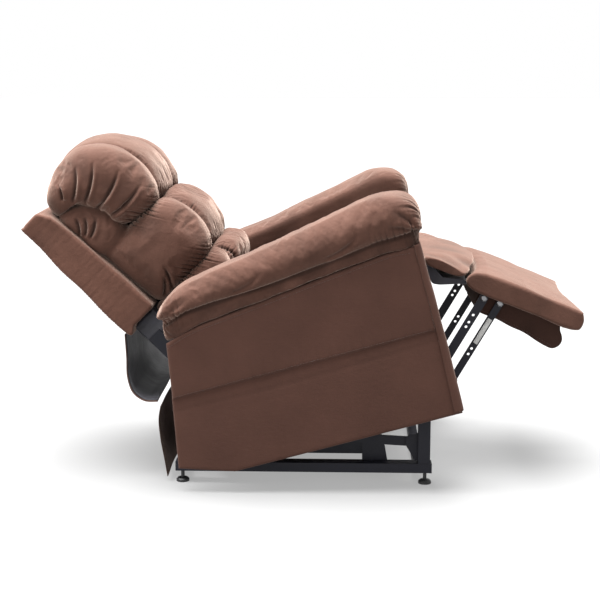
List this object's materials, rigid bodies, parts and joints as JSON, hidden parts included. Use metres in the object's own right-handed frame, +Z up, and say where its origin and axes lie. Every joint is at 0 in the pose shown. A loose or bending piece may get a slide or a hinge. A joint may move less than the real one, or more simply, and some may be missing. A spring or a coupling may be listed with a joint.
{
  "type": "lift recliner chair",
  "caption": "Upholstered power lift recliner with pillow back, padded roll arms, fold-out footrest and steel lift base, shown reclined with the footrest out.",
  "frame": {"origin": "on the floor, in the middle of the chair's overall length and width in the reclined rest pose", "axes": "+X points forwards, the way the sitter faces; +Y to the sitter's left; +Z up"},
  "size_m": [1.5339, 0.884, 0.9241],
  "materials": {
    "brown_microfibre": "brushed microfibre, soft nap with a slight sheen",
    "panel_microfibre": "brushed microfibre stretched over board",
    "black_lining": "thin black lining cloth with a slight shine",
    "black_plastic": "fine moulded texture",
    "bright_steel": "ground and plated rod",
    "plywood": "plain plywood",
    "black_steel": "semi-gloss black powder coat"
  },
  "bodies": {
    "base": {"base_rail_right": "black_steel", "base_rail_left": "black_steel", "front_post_right": "black_steel", "front_post_left": "black_steel", "levelling_foot_rear_right": "black_plastic", "levelling_foot_rear_left": "black_plastic", "levelling_foot_front_right": "black_plastic", "levelling_foot_front_left": "black_plastic", "base_rear_tube": "black_steel", "base_front_tube": "black_steel", "base_middle_tube": "black_steel", "power_supply": "black_plastic"},
    "lift_arms": {"lift_arm_lower_right": "black_steel", "lift_arm_lower_left": "black_steel", "lift_torque_tube": "black_steel"},
    "carriage": {"carriage_plate_right": "black_steel", "carriage_plate_left": "black_steel", "carriage_cross_tube": "black_steel"},
    "upper_lift_arms": {"lift_arm_upper_right": "black_steel", "lift_arm_upper_left": "black_steel"},
    "lift_motor": {"lift_motor": "black_plastic"},
    "lift_rod": {"lift_rod": "bright_steel"},
    "seat_frame": {"seat_rail_right": "black_steel", "seat_rail_left": "black_steel", "seat_front_rail": "black_steel", "seat_rear_rail": "black_steel", "seat_deck": "plywood", "seat_cushion": "brown_microfibre", "arm_side_panel_right": "panel_microfibre", "arm_side_panel_left": "panel_microfibre", "arm_skirt_panel_right": "panel_microfibre", "arm_skirt_panel_left": "panel_microfibre", "arm_inner_panel_right": "panel_microfibre", "arm_inner_panel_left": "panel_microfibre", "arm_front_panel_right": "panel_microfibre", "arm_front_panel_left": "panel_microfibre", "arm_pad_right": "brown_microfibre", "arm_pad_left": "brown_microfibre", "rear_skirt": "black_lining"},
    "backrest": {"back_shell": "brown_microfibre", "back_lower_frame": "black_lining", "back_hinge_tube": "black_steel", "head_cushion": "brown_microfibre", "mid_cushion": "brown_microfibre", "lumbar_cushion": "brown_microfibre", "back_flap": "black_lining"},
    "recline_motor": {"recline_motor": "black_plastic"},
    "recline_rod": {"recline_rod": "bright_steel"},
    "foot_drive": {"foot_drive_frame": "black_steel"},
    "leg_links_rear": {"leg_link_rear_right": "black_steel", "leg_link_rear_left": "black_steel"},
    "leg_elbows": {"leg_elbow_right": "black_steel", "leg_elbow_left": "black_steel"},
    "leg_links_front": {"leg_link_front_right": "black_steel", "leg_link_front_left": "black_steel"},
    "footrest_pad": {"footrest_pad": "brown_microfibre", "footrest_board": "panel_microfibre"},
    "chaise": {"chaise_pad": "brown_microfibre"}
  },
  "joints": [
    {"name": "lift", "type": "hinge", "parent": "base", "child": "lift_arms", "pos_m": [0.2082, 0, 0.092], "axis": [0, 1, 0], "range_deg": [0, 55]},
    {"name": "carriage_turn", "type": "hinge", "parent": "lift_arms", "child": "carriage", "pos_m": [-0.1968, 0, 0.092], "axis": [0, 1, 0], "range_deg": [-35.2, 0.2]},
    {"name": "upper_arm_turn", "type": "hinge", "parent": "base", "child": "upper_lift_arms", "pos_m": [0.2957, 0, 0.1162], "axis": [0, 1, 0], "range_deg": [-0.2, 59.85]},
    {"name": "lift_motor_turn", "type": "hinge", "parent": "base", "child": "lift_motor", "pos_m": [-0.2168, 0, 0.08], "axis": [0, 1, 0], "range_deg": [-0.2, 3.21]},
    {"name": "lift_rod_slide", "type": "slide", "parent": "lift_motor", "child": "lift_rod", "axis": [0.9813, 0, 0.1924], "range_m": [-0.0005, 0.06153]},
    {"name": "tilt", "type": "hinge", "parent": "carriage", "child": "seat_frame", "pos_m": [-0.2568, 0, 0.1], "axis": [0, 1, 0], "range_deg": [0, 15.5]},
    {"name": "recline", "type": "hinge", "parent": "seat_frame", "child": "backrest", "pos_m": [-0.31655, 0, 0.28996], "axis": [0, 1, 0], "range_deg": [-20, 12], "deforming": ["back_flap"]},
    {"name": "recline_motor_turn", "type": "hinge", "parent": "seat_frame", "child": "recline_motor", "pos_m": [-0.12711, 0, 0.29164], "axis": [0, 1, 0], "range_deg": [-1.44, 0.95]},
    {"name": "recline_rod_slide", "type": "slide", "parent": "recline_motor", "child": "recline_rod", "axis": [-0.8819, 0, -0.4714], "range_m": [-0.03145, 0.01907]},
    {"name": "foot_drive_turn", "type": "hinge", "parent": "seat_frame", "child": "foot_drive", "pos_m": [0.20487, 0, 0.41173], "axis": [0, 1, 0], "range_deg": [-0.2, 7.8]},
    {"name": "footrest", "type": "hinge", "parent": "foot_drive", "child": "leg_links_rear", "pos_m": [0.36658, 0, 0.29261], "axis": [0, -1, 0], "range_deg": [0, 42.6]},
    {"name": "footrest_turn", "type": "hinge", "parent": "leg_links_rear", "child": "footrest_pad", "pos_m": [0.49231, 0, 0.50908], "axis": [0, 1, 0], "range_deg": [-0.2, 89.2]},
    {"name": "leg_elbow_turn", "type": "hinge", "parent": "leg_links_rear", "child": "leg_elbows", "pos_m": [0.36658, 0, 0.29261], "axis": [0, 1, 0], "range_deg": [-0.2, 89.2]},
    {"name": "leg_link_front_turn", "type": "hinge", "parent": "leg_elbows", "child": "leg_links_front", "pos_m": [0.41251, 0, 0.27553], "axis": [0, -1, 0], "range_deg": [-0.2, 89.2]},
    {"name": "chaise_turn", "type": "hinge", "parent": "seat_frame", "child": "chaise", "pos_m": [0.34324, 0, 0.54143], "axis": [0, -1, 0], "range_deg": [-0.2, 68.2]}
  ],
  "couplings": [
    {"joint": "carriage_turn", "follows": "lift", "ratio": -0.63636},
    {"joint": "upper_arm_turn", "follows": "lift", "ratio": 1.0845},
    {"joint": "lift_motor_turn", "follows": "lift", "ratio": 0.0547},
    {"joint": "lift_rod_slide", "follows": "lift", "m_per_rad": 0.06358},
    {"joint": "recline_motor_turn", "follows": "recline", "ratio": 0.06219},
    {"joint": "recline_rod_slide", "follows": "recline", "m_per_rad": 0.08868},
    {"joint": "foot_drive_turn", "follows": "footrest", "ratio": 0.1784},
    {"joint": "footrest_turn", "follows": "footrest", "ratio": 2.0892},
    {"joint": "leg_elbow_turn", "follows": "footrest", "ratio": 2.0892},
    {"joint": "leg_link_front_turn", "follows": "footrest", "ratio": 2.0892},
    {"joint": "chaise_turn", "follows": "footrest", "ratio": 1.5962}
  ]
}
